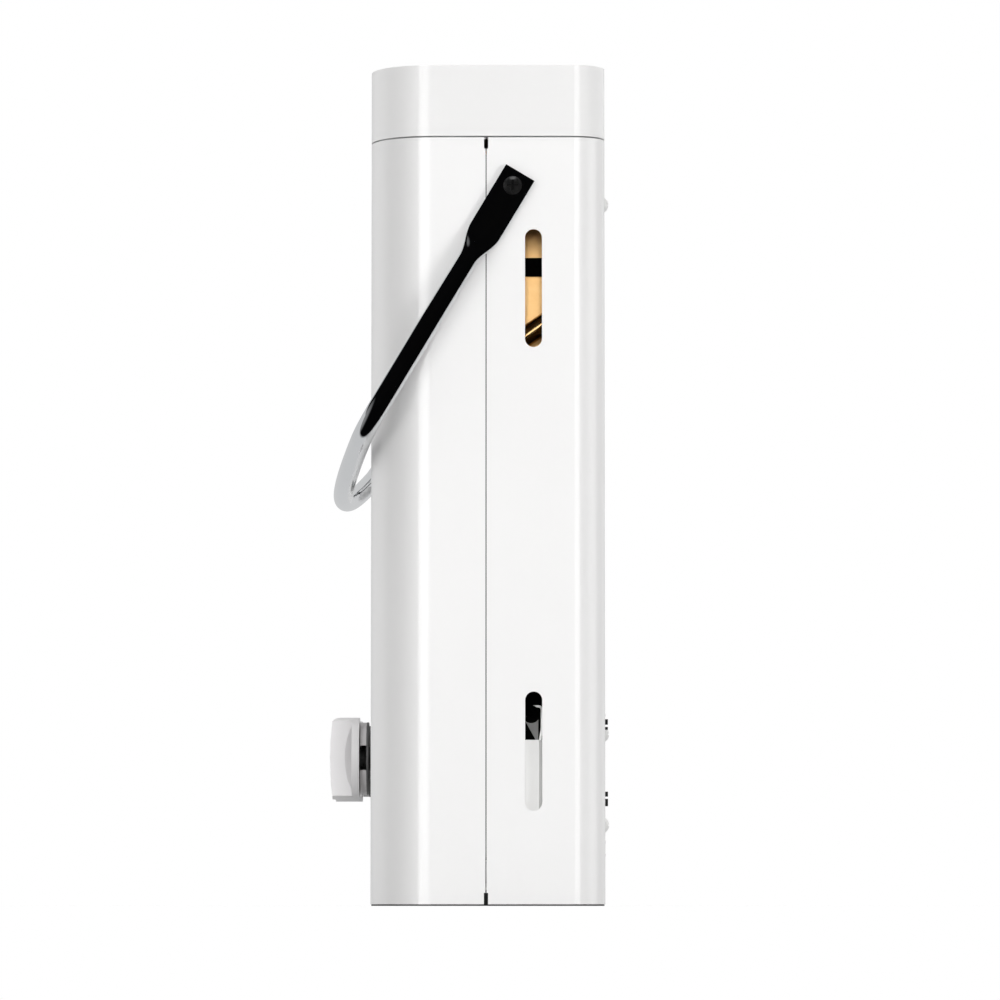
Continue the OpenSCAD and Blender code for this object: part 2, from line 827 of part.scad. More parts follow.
// Grip-bar knob: its back is at y = 0 and it points to -Y, with the bar upright.
// A shallow cone hollows each side of the grip above the skirt.
grip_w = 18;
crown_r = 6;
dome_r = 170;
hollow_r = 43.5;
hollow_w = 3.9;
hollow_d = 2.6;
module knob_shape() {
  difference() {
    intersection() {
      rotate([90, 0, 0]) rotate_extrude() knob_profile();
      union() {
        rotate([90, 0, 0]) cylinder(r = knob_r + 1, h = skirt_t);
        block([-knob_r - 1, -knob_t - 1, -knob_r - 1], [knob_r + 1, 0, knob_r - crown_r]);
        translate([-knob_r - 1, -knob_t + crown_r, knob_r - crown_r])
          rotate([0, 90, 0]) cylinder(r = crown_r, h = 2 * knob_r + 2);
        block([-knob_r - 1, -knob_t + crown_r, -knob_r], [knob_r + 1, 0, knob_r + 1]);
      }
    }
    both_sides() {
      block([grip_w / 2, -knob_t - 1, -knob_r - 1], [knob_r + 1, -skirt_t, knob_r + 1]);
      intersection() {
        translate([grip_w / 2 + 0.5, hollow_r - skirt_t - hollow_w, 0]) rotate([0, -90, 0])
          cylinder(r1 = hollow_r + hollow_w * 0.5 / hollow_d, r2 = hollow_r - hollow_w, h = hollow_d + 0.5);
        block([0, -knob_t, -knob_r], [knob_r, -skirt_t, knob_r]);
      }
    }
    bolt_y(0, -3, 0, hub_r + 1, 3 + through);
    bolt_y(0, -12, 0, spindle_r + 0.1, 13);
  }
}

module knob_profile() {
  intersection() {
    square([knob_r, knob_t]);
    translate([0, knob_t - dome_r]) circle(r = dome_r);
  }
}

module gas_knob() {
  color(light_plastic) translate([gas_x, knob_back, knob_z]) knob_shape();
}

module water_knob() {
  color(light_plastic) translate([water_x, knob_back, knob_z]) knob_shape();
}

module spindle(x) {
  difference() {
    bolt_y(x, knob_back - 11.8, knob_z, spindle_r, valve_y + 6 - knob_back);
    block([x - spindle_r, knob_back - 12, knob_z + spindle_r * 0.6],
          [x + spindle_r, knob_back - 4, knob_z + spindle_r + 1]);
  }
}

module gas_spindle() {
  color(brass) spindle(gas_x);
}

module water_spindle() {
  color(brass) spindle(water_x);
}

// ================= Flue and exchanger =================

module hood_frame(inset, z_low, z_high) {
  hull() {
    block([-chamber_x + inset, chamber_y0 + inset, z_low],
          [chamber_x - inset, chamber_y1 - inset, z_low + 0.1]);
    block([-hood_x - 1 + inset, hood_y0 - 1 + inset, z_high - 0.1],
          [hood_x + 1 - inset, hood_y1 + 1 - inset, z_high]);
  }
}

module flue_hood() {
  color(copper) difference() {
    hood_frame(0, chamber_z1, cover_top);
    hood_frame(1, chamber_z1 - 0.1, cover_top + 0.1);
  }
}

electrode_x = [40, 55];
electrode_z = chamber_z0 + 7;
electrode_r = 3;

module exchanger_shell() {
  color(copper) difference() {
    block([-chamber_x, chamber_y0, chamber_z0], [chamber_x, chamber_y1, chamber_z1]);
    block([-chamber_x + chamber_wall, chamber_y0 + chamber_wall, chamber_z0 - through],
          [chamber_x - chamber_wall, chamber_y1 - chamber_wall, chamber_z1 + through]);
    for (y = fin_tube_y)
      bolt_x(-chamber_x - through, y, fin_tube_z, water_r + run, chamber_w + 2 * through);
    block([-sight_w / 2, chamber_y0 - through, sight_z],
          [sight_w / 2, chamber_y0 + chamber_wall + through, sight_z + sight_h]);
    for (x = electrode_x)
      bolt_y(x, chamber_y0 - through, electrode_z, electrode_r + 0.1, chamber_wall + 2 * through);
  }
}

module exchanger_fins() {
  inner = chamber_w - 2 * chamber_wall - 8;
  pitch = inner / (fin_count - 1);
  color([0.8, 0.45, 0.25]) for (i = [0 : fin_count - 1])
    difference() {
      block([-inner / 2 + i * pitch - fin_t / 2, chamber_y0 + chamber_wall + touch, fin_tube_z - fin_h / 2],
            [-inner / 2 + i * pitch + fin_t / 2, chamber_y1 - chamber_wall - touch, fin_tube_z + fin_h / 2]);
      for (y = fin_tube_y)
        bolt_x(-inner / 2 + i * pitch - 2, y, fin_tube_z, water_r + run, 4);
    }
}

cold_join_z = wrap_low_z - 22;
fin_straight_x = uturn_x - 7;

// The straight tubes through the fins, joined by U-bends at both ends
module fin_tube_path(r) {
  t = fin_tube_y;
  u_r = fin_pitch_y / 2;
  for (y = t) rod([-fin_straight_x, y, fin_tube_z], [fin_straight_x, y, fin_tube_z], r);
  for (i = [0, 2])
    translate([-fin_straight_x, t[i] + u_r, fin_tube_z]) rotate([0, 0, 90])
      rotate_extrude(angle = 180) translate([u_r, 0]) circle(r = r);
  for (i = [1, 3])
    translate([fin_straight_x, t[i] + u_r, fin_tube_z]) rotate([0, 0, -90])
      rotate_extrude(angle = 180) translate([u_r, 0]) circle(r = r);
}

// Riser, wrap around the chamber, fin tubes, and the hot pipe down to the outlet
module coil_path(r, extra) {
  t = fin_tube_y;
  bar([[-riser_x, wrap_front, cold_join_z - extra],
       [-riser_x, wrap_front, wrap_low_z],
       [wrap_x, wrap_front, wrap_low_z],
       [wrap_x, wrap_rear, wrap_high_z],
       [-riser_x, wrap_rear, wrap_high_z],
       [-riser_x, t[4], wrap_high_z],
       [-riser_x, t[4], fin_tube_z],
       [-fin_straight_x, t[4], fin_tube_z]], r, bend_r);
  fin_tube_path(r);
  bar([[fin_straight_x, t[0], fin_tube_z],
       [hot_x, t[0], fin_tube_z],
       [hot_x, t[0], hot_out_top + 46],
       [hot_out_x, hot_out_y, hot_out_top + 46],
       [hot_out_x, hot_out_y, hot_out_top - extra]], r, bend_r);
}

module exchanger_coil() {
  color(copper) difference() {
    coil_path(water_r, 0);
    coil_path(water_r - water_wall, through);
  }
}

module exchanger_band() {
  color(black_rubber) difference() {
    block([-chamber_x - band_t, chamber_y0 - band_t, band_z], [chamber_x + band_t, chamber_y1 + band_t, band_z + band_h]);
    block([-chamber_x, chamber_y0, band_z - through], [chamber_x, chamber_y1, band_z + band_h + through]);
  }
}

cold_rise = 32;
cold_z = water_z1 + cold_rise;
module cold_pipe() {
  route = [
    [water_x, valve_y, water_z1 + socket_h],
    [water_x, valve_y, cold_z],
    [-riser_x, valve_y, cold_z],
    [-riser_x, wrap_front, cold_z],
    [-riser_x, wrap_front, cold_join_z]
  ];
  color(copper) tube(route, water_r, water_wall, bend_r);
}

// ================= Burner =================

module burner_tray() {
  color(zinc) difference() {
    union() {
      difference() {
        union() {
          block([-tray_x, tray_y0, tray_z0], [tray_x, tray_y1, chamber_z0]);
          block([-chamber_x, chamber_y0, chamber_z0 - tray_t], [chamber_x, chamber_y1, chamber_z0]);
        }
        block([-tray_x + tray_t, tray_y0 + tray_t, tray_z0 - through],
              [tray_x - tray_t, tray_y1 - tray_t, chamber_z0 + through]);
      }
      for (y = [blade_y0 + 8, blade_y1 - 14])
        block([-tray_x + tray_t / 2, y, blade_z - bar_t], [tray_x - tray_t / 2, y + bar_w, blade_z]);
      both_sides()
        block([manifold_x, manifold_y1, inlet_z - 5], [manifold_x + ear_w, tray_y0, inlet_z + 5]);
    }
    for (i = [0 : blade_count - 1])
      bolt_y((i - (blade_count - 1) / 2) * blade_pitch, tray_y0 - through, inlet_z, inlet_r + fit, tray_t + 2 * through);
  }
}

module burner_blade() {
  difference() {
    union() {
      block([-blade_t / 2, blade_y0, blade_z], [blade_t / 2, blade_y1, blade_z + blade_h]);
      bolt_y(0, tray_y0 - 1, inlet_z, inlet_r, blade_y0 - tray_y0 + 2);
    }
    bolt_y(0, tray_y0 - 2, inlet_z, blade_t / 2 - 1.1, 20);
    block([-blade_t / 2 + 1, blade_y0 + 1, blade_z + 1], [blade_t / 2 - 1, blade_y1 - 1, blade_z + blade_h - 3]);
    for (y = [blade_y0 + 4 : 5 : blade_y1 - 4])
      block([-blade_t / 2 + 1, y, blade_z + blade_h - 5], [blade_t / 2 - 1, y + 2, blade_z + blade_h + 1]);
  }
}

module burner_blades() {
  color([0.7, 0.7, 0.68]) for (i = [0 : blade_count - 1])
    translate([(i - (blade_count - 1) / 2) * blade_pitch, 0, 0]) burner_blade();
}

module gas_manifold() {
  z0 = inlet_z - manifold_s / 2;
  gy = (manifold_y0 + manifold_y1) / 2;
  color(zinc) {
    difference() {
      union() {
        block([-manifold_x, manifold_y0, z0], [manifold_x, manifold_y1, z0 + manifold_s]);
        both_sides()
          block([manifold_x - 1, manifold_y1 - 1.5, inlet_z - 5],
                [manifold_x + ear_w, manifold_y1, inlet_z + 5]);
      }
      block([-manifold_x + 2, manifold_y0 + manifold_wall, z0 + manifold_wall],
            [manifold_x - 2, manifold_y1 - manifold_wall, z0 + manifold_s - manifold_wall]);
      for (i = [0 : blade_count - 1])
        bolt_y((i - (blade_count - 1) / 2) * blade_pitch, manifold_y1 - 3, inlet_z, 1.5, 4);
      translate([gas_x, gy, z0 - through]) cylinder(r = gas_pipe_r - 1, h = 4);
    }
    tube([[gas_x, valve_y, gas_z1 + socket_h],
          [gas_x, valve_y, gas_z1 + socket_h + 16],
          [gas_x, gy, gas_z1 + socket_h + 16],
          [gas_x, gy, z0]], gas_pipe_r, 1, bend_r);
  }
}

module gas_nozzles() {
  color(brass) for (i = [0 : blade_count - 1])
    translate([(i - (blade_count - 1) / 2) * blade_pitch, 0, 0]) difference() {
      union() {
        bolt_y(0, manifold_y1, inlet_z, nozzle_r, 3);
        bolt_y(0, manifold_y1 + 2, inlet_z, 2.2, 5.5);
      }
      bolt_y(0, manifold_y1 - 1, inlet_z, 0.6, 12);
    }
}

// ================= Valves =================

module gas_valve() {
  color(zinc) difference() {
    union() {
      block([gas_left, valve_front, valve_z0], [gas_x + 16, valve_y + valve_half, gas_z1]);
      bolt_y(gas_x, nose_y, knob_z, nose_r, valve_front - nose_y + 1);
      translate([gas_x, valve_y, socket_z]) cylinder(r = socket_r + 2, h = valve_z0 - socket_z + 1);
      translate([gas_x, valve_y, gas_z1 - 1]) cylinder(r = socket_r, h = socket_h + 1);
    }
    bolt_y(gas_x, nose_y - through, knob_z, spindle_r + run, valve_y + 8 - nose_y + through);
    translate([gas_x, valve_y, socket_z - through]) cylinder(r = 5.5, h = 16);
    translate([gas_x, valve_y, gas_z1 - 12]) cylinder(r = 3.5, h = socket_h + 14);
    bolt_x(gas_left - through, valve_y, knob_z, rod_r + run, 9);
  }
}

module solenoid_valve() {
  y0 = valve_y + valve_half;
  color(dark_plastic) {
    bolt_y(gas_x, y0, knob_z + 14, 12, 26);
    bolt_y(gas_x, y0 + 25, knob_z + 14, 5, 4);
  }
}

module diaphragm_holes(x, h, r) {
  for (a = [45 : 90 : 315])
    bolt_x(x, valve_y + 21 * cos(a), knob_z + 21 * sin(a), r, h);
}

module water_valve() {
  color(brass) difference() {
    union() {
      block([water_x - 18, valve_front, valve_z0], [water_right, valve_y + valve_half, water_z1]);
      bolt_x(water_right - 1, valve_y, knob_z, disc_r, flange_t + 1);
      bolt_y(water_x, nose_y, knob_z, nose_r, valve_front - nose_y + 1);
      translate([water_x, valve_y, socket_z]) cylinder(r = socket_r + 2, h = valve_z0 - socket_z + 1);
      translate([water_x, valve_y, water_z1 - 1]) cylinder(r = socket_r, h = socket_h + 1);
      translate([drain_x, valve_y, hex_z]) cylinder(r = 7, h = valve_z0 + 14 - hex_z);
      block([drain_x, valve_y - 6, valve_z0 + 2], [water_x, valve_y + 6, valve_z0 + 14]);
    }
    bolt_y(water_x, nose_y - through, knob_z, spindle_r + run, valve_y + 8 - nose_y + through);
    translate([water_x, valve_y, socket_z - through]) cylinder(r = 6.5, h = 16);
    translate([water_x, valve_y, water_z1 - 12]) cylinder(r = 4.5, h = socket_h + 14);
    translate([drain_x, valve_y, hex_z - through]) cylinder(r = drain_r + run, h = 20);
    diaphragm_holes(water_right + 1, flange_t + 1, 1.6);
    bolt_x(disc_x - 3, valve_y, knob_z, 17, 4);
  }
}

module diaphragm() {
  color(black_rubber) difference() {
    bolt_x(disc_x, valve_y, knob_z, disc_r - 0.5, rubber_t);
    diaphragm_holes(disc_x - 1, rubber_t + 2, 1.6);
  }
}

module diaphragm_cover() {
  color(brass) difference() {
    union() {
      bolt_x(cover_x, valve_y, knob_z, disc_r, cover_t);
      bolt_x(cover_x + cover_t - 1, valve_y, knob_z, 8, neck_x - cover_x - cover_t + 1);
    }
    bolt_x(cover_x - through, valve_y, knob_z, 17, 4.6 + through);
    bolt_x(cover_x - through, valve_y, knob_z, rod_r + run, neck_x - cover_x + 2 * through);
    diaphragm_holes(cover_x - 1, cover_t + 2, 1.6);
  }
}

module valve_screws() {
  color(zinc) for (a = [45 : 90 : 315])
    translate([cover_x + cover_t, valve_y + 21 * cos(a), knob_z + 21 * sin(a)]) rotate([0, 90, 0]) {
      cross_head(2.8, 2);
      translate([0, 0, -cover_t - rubber_t - 4]) cylinder(r = 1.5, h = cover_t + rubber_t + 4.2);
    }
}

module push_rod() {
  color(chrome) {
    bolt_x(cover_x + fit, valve_y, knob_z, 15, 1.2);
    bolt_x(cover_x + fit + 0.5, valve_y, knob_z, rod_r, rod_end - cover_x - fit - 0.5);
    bolt_x(collar_x, valve_y, knob_z, collar_r, collar_t);
  }
}

module switch_lever() {
  color(zinc) difference() {
    union() {
      block([lever_x, valve_y - lever_w / 2, knob_z + rod_r + 0.6], [lever_x + lever_t, valve_y + lever_w / 2, lever_z]);
      bolt_y(lever_x + lever_t / 2, valve_y - lever_w / 2, lever_z, lever_hub_r, lever_w);
    }
    bolt_y(lever_x + lever_t / 2, valve_y - lever_w / 2 - 1, lever_z, lever_pin_r + 0.05, lever_w + 2);
  }
}

module microswitch() {
  x = lever_x + lever_t / 2;
  color(dark_plastic) {
    block([gas_left - 12, valve_y - 11, switch_z], [gas_left, valve_y + 11, switch_z + 11]);
    for (s = [-1, 1])
      block([x - 2, valve_y + s * (lever_w / 2 + 2) - 1.5, lever_z - 2.5],
            [x + 2, valve_y + s * (lever_w / 2 + 2) + 1.5, switch_z + 1]);
    bolt_y(x, valve_y - lever_w / 2 - 3, lever_z, lever_pin_r, lever_w + 6);
  }
}

// ================= Connections =================

module threaded_inlet(x, y, thread_d, bore, top) {
  translate([x, y, 0]) difference() {
    union() {
      translate([0, 0, thread_z]) cylinder(d = thread_d, h = hex_z - thread_z + 1);
      translate([0, 0, hex_z]) hex(hex_flat, hex_h);
      translate([0, 0, base_z - 0.5]) cylinder(r = neck_r, h = top - base_z + 0.5);
    }
    translate([0, 0, thread_z - through]) cylinder(r = bore, h = top - thread_z + 2 * through);
  }
}

module cold_inlet() {
  color(brass) threaded_inlet(water_x, valve_y, water_thread_d, 6.5, socket_z);
}

module gas_inlet() {
  color(brass) threaded_inlet(gas_x, valve_y, gas_thread_d, 5.5, socket_z);
}

module hot_outlet() {
  color(brass) threaded_inlet(hot_out_x, hot_out_y, water_thread_d, water_r - water_wall, hot_out_top);
}

module locknuts() {
  color(brass) for (p = [[water_x, valve_y], [gas_x, valve_y], [hot_out_x, hot_out_y]])
    translate([p[0], p[1], base_top]) difference() {
      hex(nut_flat, locknut_h);
      translate([0, 0, -through]) cylinder(r = neck_r + 0.05, h = locknut_h + 2 * through);
    }
}

module pipe_nuts() {
  color(brass)
    for (p = [[water_x, valve_y, water_z1 + socket_h, water_r],
              [gas_x, valve_y, gas_z1 + socket_h, gas_pipe_r],
              [hot_out_x, hot_out_y, hot_out_top, water_r],
              [-riser_x, wrap_front, cold_join_z - nut_h / 2, water_r]])
      translate([p[0], p[1], p[2]]) difference() {
        hex(p[2] == cold_join_z - nut_h / 2 ? 17 : 19, nut_h);
        translate([0, 0, -through]) cylinder(r = p[3] + 0.05, h = nut_h + 2 * through);
      }
}

drain_head_r = 9;
module drain_plug() {
  color(black_rubber) translate([drain_x, valve_y, 0]) {
    translate([0, 0, hex_z - fit - 7]) cylinder(r = drain_head_r, h = 7);
    translate([0, 0, hex_z - fit - 1]) cylinder(r = drain_r, h = 16);
    translate([-drain_head_r - 2, -1.5, hex_z - fit - 12]) cube([2 * drain_head_r + 4, 3, 6]);
  }
}

// ================= Electrics =================

module_w = 43;
module_d = 46;
module_h = 70;
module_gap = 7;
module_y0 = -10;
post_h = 6;
post_pitch = 12;
post_x = -side_in + module_gap + 9;
module igniter_module() {
  x0 = -side_in + module_gap;
  color(dark_plastic) {
    block([x0, module_y0, base_top], [x0 + module_w, module_y0 + module_d, base_top + module_h]);
    for (i = [0 : 2])
      translate([post_x + i * post_pitch, 0, base_top + module_h - 1]) cylinder(r = 3.5, h = post_h + 1);
  }
}

lead_r = 1.5;
module igniter_leads() {
  lead_y = front_in + 3.8;
  lead_z = wrap_low_z - 15;
  top = base_top + module_h + post_h;
  color([0.75, 0.2, 0.15]) for (i = [0, 1])
    bar([[post_x + (i + 1) * post_pitch, 0, top],
         [post_x + (i + 1) * post_pitch, 0, cold_z + water_r + 8 - i * 5],
         [post_x + (i + 1) * post_pitch, lead_y, cold_z + water_r + 8 - i * 5],
         [post_x + (i + 1) * post_pitch, lead_y, lead_z - i * 5],
         [electrode_x[1 - i], lead_y, lead_z - i * 5],
         [electrode_x[1 - i], lead_y, electrode_z],
         [electrode_x[1 - i], chamber_y0 - 9.05, electrode_z]], lead_r, 5);
}

module spark_electrodes() {
  color([0.95, 0.95, 0.92]) {
    for (x = electrode_x) {
      bolt_y(x, chamber_y0 - 9, electrode_z, electrode_r, 18);
      bolt_y(x, chamber_y0 + 8, electrode_z, 1, 14);
    }
    difference() {
      block([electrode_x[0] - 7, chamber_y0 - 1.5, electrode_z - 5],
            [electrode_x[1] + 7, chamber_y0, electrode_z + 6]);
      for (x = electrode_x)
        bolt_y(x, chamber_y0 - 3, electrode_z, electrode_r - 0.2, 4);
    }
  }
}

cutout_drop = 26.5;
module thermal_cutout() {
  z = wrap_high_z - cutout_drop;
  color(dark_plastic) {
    block([-14, chamber_y1, z - 6], [14, chamber_y1 + 1.2, z + 6]);
    bolt_y(0, chamber_y1 + 1, z, 8, 6);
    for (s = [-1, 1])
      block([s * 4 - 1.5, chamber_y1 + 6, z - 0.4], [s * 4 + 1.5, chamber_y1 + 12, z + 0.4]);
  }
}

module tip_switch() {
  color([0.85, 0.85, 0.8]) {
    block([-80, 20, base_top], [-56, 44, base_top + 18]);
    translate([-68, 32, base_top + 17]) cylinder(r = 8, h = 6);
  }
}

// The box has a slanted corner beside the slot
module box_outline(inset) {
  x0 = box_x0 + inset;
  x1 = box_x1 - inset;
  y0 = box_y0 + inset;
  y1 = box_y1 - inset;
  polygon([[x0, y0], [x1, y0], [x1, box_y1 - box_corner], [box_x1 - box_corner, y1], [x0, y1]]);
}

module battery_box() {
  color(light_plastic) difference() {
    translate([0, 0, base_top]) linear_extrude(box_z1 - base_top) box_outline(0);
    translate([0, 0, base_top - through])
      linear_extrude(box_z1 - 1.5 - base_top + through) box_outline(box_wall);
  }
}

cell_y = box_y0 + box_wall + box_gap + cell_d / 2;
cell_x = [box_x0 + box_wall + box_gap + cell_d / 2, box_x1 - box_wall - box_gap - cell_d / 2];
module batteries() {
  color([0.3, 0.35, 0.4]) for (x = cell_x)
    translate([x, cell_y, base_top - 1]) {
      cylinder(d = cell_d, h = cell_len - 1.5);
      cylinder(r = 4.7, h = cell_len);
    }
}

module battery_contacts() {
  color(brass) for (x = cell_x) {
    block([x - 8, cell_y - 8, box_z1 - 2], [x + 8, cell_y + 8, box_z1 - 1.5]);
    translate([x, cell_y, box_z1 - 3.3]) cylinder(r = 4, h = 1.5);
  }
}

lug_t = 1.4;
module battery_lug() {
  x = lug_x;
  y = lug_screw_y;
  z = lug_screw_z;
  color(zinc) difference() {
    union() {
      translate([x, 0, 0]) rotate([90, 0, 90]) linear_extrude(lug_t)
        polygon([[y + 2.6, box_z1], [y + 3.8, box_z1], [y + 3.8, z - 2.5], [y + 3, z + 3.2],
                 [y - 3.2, z + 3], [y - 3.75, z - 2.5], [y + 1.7, z - 12.3]]);
      block([x, y + 2.6, box_z1], [x + 10, y + 3.8, box_z1 + 0.8]);
    }
    bolt_x(x - 1, y, z, 1.9, 4);
  }
}

shield_plate_t = 1.2;
shield_plate_h = 62;
shield_plate_in = 6;
shield_plate_out = 10;
lug_head_r = 4.7;
lug_head_h = 2.4;
module lug_screw() {
  color([0.08, 0.08, 0.08]) {
    translate([lug_x + lug_t, lug_screw_y, lug_screw_z]) rotate([0, 90, 0]) cross_head(lug_head_r, lug_head_h);
    bolt_x(lug_x - 6, lug_screw_y, lug_screw_z, 1.8, lug_t + 6.2);
    difference() {
      block([lug_x - shield_plate_t, box_y0 + shield_plate_in, box_z1],
            [lug_x, box_y1 + shield_plate_out, box_z1 + shield_plate_h]);
      bolt_x(lug_x - 3, lug_screw_y, lug_screw_z, 1.7, 4);
    }
  }
}

// Thin lead from behind the screw head, over the lug and down to the box
battery_lead_r = 0.65;
module battery_lead() {
  x = lug_x + lug_t / 2;
  y = lug_screw_y;
  z = lug_screw_z;
  color([0.95, 0.95, 0.95])
    bar([[x, y + 0.9, z + 4.25], [x, y + 5.7, z + 4.25], [x, y + 5.7, z - 7.5],
         [x, y + 4.75, box_z1 + 0.05]], battery_lead_r, 2);
}

module battery_door() {
  color(light_plastic) {
    block([box_x0, box_y0 - 1 + 0.1, door_z1 - door_t], [box_x1 - 0.5, box_y1 + 1 - 0.1, door_z1]);
    for (i = [0 : 2])
      block([box_x0 + 6 + i * 4, box_y0 + 6, door_z1 - door_t - 1.2], [box_x0 + 8 + i * 4, box_y1 - 6, door_z1 - door_t + 0.1]);
  }
}

// ================= Assembly =================

front_cover();
rear_cover();
top_cap();
cap_shield();
top_deck();
base_plate();
base_trim();
window_bezel();
window_glass();
rear_screws();
rear_bumpers();
chassis_rails();
handle_washers();
handle_screws();
handle_nuts();
dial_bases();
dial_rings();
flue_hood();
exchanger_shell();
exchanger_fins();
exchanger_coil();
exchanger_band();
cold_pipe();
burner_tray();
burner_blades();
gas_manifold();
gas_nozzles();
gas_valve();
solenoid_valve();
gas_inlet();
water_valve();
diaphragm_cover();
diaphragm();
valve_screws();
cold_inlet();
hot_outlet();
locknuts();
pipe_nuts();
microswitch();
igniter_module();
igniter_leads();
spark_electrodes();
thermal_cutout();
tip_switch();
battery_box();
batteries();
battery_contacts();
battery_lead();
battery_lug();
lug_screw();
carry_handle();
gas_knob();
gas_spindle();
water_knob();
water_spindle();
battery_door();
push_rod();
switch_lever();
drain_plug();
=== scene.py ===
import json
import math

import bmesh
import bpy
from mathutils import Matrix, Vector


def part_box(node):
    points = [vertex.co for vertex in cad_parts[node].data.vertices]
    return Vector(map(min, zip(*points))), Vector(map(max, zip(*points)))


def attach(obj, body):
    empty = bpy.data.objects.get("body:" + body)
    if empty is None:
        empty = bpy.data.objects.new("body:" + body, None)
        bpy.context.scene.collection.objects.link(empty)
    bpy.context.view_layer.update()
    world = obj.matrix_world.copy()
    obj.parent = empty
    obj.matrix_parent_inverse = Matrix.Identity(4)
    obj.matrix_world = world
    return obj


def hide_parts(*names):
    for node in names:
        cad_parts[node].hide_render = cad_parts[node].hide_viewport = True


# The looks of a portable propane water heater: a material for every solid, the bail handle as one smooth
# bar, the camera, the paper floor, the studio and its lamps. Lengths are in metres, except in the section
# of the bail. +X is the side that the camera sees, and -Y is the front.

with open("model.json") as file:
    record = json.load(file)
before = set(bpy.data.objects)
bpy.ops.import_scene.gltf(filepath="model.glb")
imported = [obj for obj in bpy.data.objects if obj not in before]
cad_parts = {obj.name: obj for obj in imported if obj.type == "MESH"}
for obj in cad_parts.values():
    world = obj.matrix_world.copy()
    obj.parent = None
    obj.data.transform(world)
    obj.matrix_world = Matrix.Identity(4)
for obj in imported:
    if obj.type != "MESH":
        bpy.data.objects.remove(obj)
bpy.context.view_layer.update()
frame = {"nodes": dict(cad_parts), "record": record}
nodes = frame["nodes"]


def add_object(name, data):
    o = bpy.data.objects.new(name, data)
    bpy.context.scene.collection.objects.link(o)
    return o


# ---------------------------------------------------------------- shader helpers

def connect(nt, value, socket):
    """Links value to the socket where it is another node's output, and sets it where it is a constant."""
    if isinstance(value, bpy.types.NodeSocket):
        nt.links.new(value, socket)
    else:
        socket.default_value = value


def fill(nt, n, **sockets):
    """Connects sockets by name. Base_Color stands for the socket Base Color."""
    for name, value in sockets.items():
        connect(nt, value, n.inputs[name.replace("_", " ")])
    return n


def add(nt, kind, **sockets):
    return fill(nt, nt.nodes.new("ShaderNode" + kind), **sockets)


def maths(nt, kind, *values):
    n = nt.nodes.new("ShaderNodeMath")
    n.operation = kind
    for value, socket in zip(values, n.inputs):
        connect(nt, value, socket)
    return n.outputs["Value"]


def vector_value(nt, kind, *vectors):
    """The number that a vector operation gives, such as a length or a dot product."""
    n = nt.nodes.new("ShaderNodeVectorMath")
    n.operation = kind
    for value, socket in zip(vectors, n.inputs):
        connect(nt, value, socket)
    return n.outputs["Value"]


def between(nt, value, low, high, out_low=0.0, out_high=1.0):
    """out_low where value is low or beyond it, out_high where it is high or beyond, and even between."""
    n = add(nt, "MapRange", Value=value, From_Min=low, From_Max=high, To_Min=out_low, To_Max=out_high)
    return n.outputs["Result"]


def span(nt, share, low, high):
    return between(nt, share, 0.0, 1.0, low, high)


def ramp(nt, share, low, high, at=(0.35, 0.65)):
    """From the colour low to the colour high, as share goes over the two places in at."""
    n = add(nt, "ValToRGB", Fac=share)
    for element, position, colour in zip(n.color_ramp.elements, at, (low, high)):
        element.position = position
        element.color = (*colour, 1)
    return n.outputs["Color"]


def multiply(nt, colour, factor):
    n = nt.nodes.new("ShaderNodeVectorMath")
    n.operation = "SCALE"
    nt.links.new(colour, n.inputs[0])
    nt.links.new(factor, n.inputs["Scale"])
    return n.outputs["Vector"]


def mix_shaders(nt, share, first, second):
    n = add(nt, "MixShader", Fac=share)
    nt.links.new(first, n.inputs[1])
    nt.links.new(second, n.inputs[2])
    return n.outputs[0]


def coordinates(nt, kind="Object"):
    return nt.nodes.new("ShaderNodeTexCoord").outputs[kind]


def coordinate(nt, axis):
    return add(nt, "SeparateXYZ", Vector=coordinates(nt)).outputs[axis]


def noise(nt, scale, detail=3.0, rough=0.5):
    """Noise in object space, with scale in cycles a metre."""
    n = add(nt, "TexNoise", Vector=coordinates(nt), Scale=scale, Detail=detail, Roughness=rough)
    return n.outputs["Fac"]


def grain_normal(nt, scale, height, detail=2.0):
    """The normal of a fine grain, with its height in metres."""
    return add(nt, "Bump", Strength=1.0, Distance=height, Height=noise(nt, scale, detail)).outputs["Normal"]


# ---------------------------------------------------------------- materials

def new_material(name):
    m = bpy.data.materials.new(name)
    m.use_nodes = True
    return m, m.node_tree, m.node_tree.nodes["Principled BSDF"]


def surface(name, low, high, rough, metal=0.0, tint_scale=9.0, grain_scale=1800.0, grain=0.00002,
            coat=0.0, spec=0.5, shade=None):
    """A surface whose colour drifts from low to high, with uneven roughness and a fine grain.
    shade is a function that paints shade into the colour by place."""
    m, nt, b = new_material(name)
    colour = ramp(nt, noise(nt, tint_scale, 4.0, 0.6), low, high)
    if shade:
        colour = shade(nt, colour)
    fill(nt, b, Metallic=metal, Specular_IOR_Level=spec, Coat_Weight=coat, Coat_Roughness=0.10,
         Base_Color=colour, Roughness=span(nt, noise(nt, 40.0, 5.0, 0.6), *rough),
         Normal=grain_normal(nt, grain_scale, grain))
    return m


def knob_painted_shade(nt, colour):
    """Painted shade: full at a knob's face, and darker toward its skirt."""
    face, back = (corner[1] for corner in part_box("gas_knob"))
    return multiply(nt, colour, between(nt, coordinate(nt, "Y"), back, face, 0.74, 1.0))


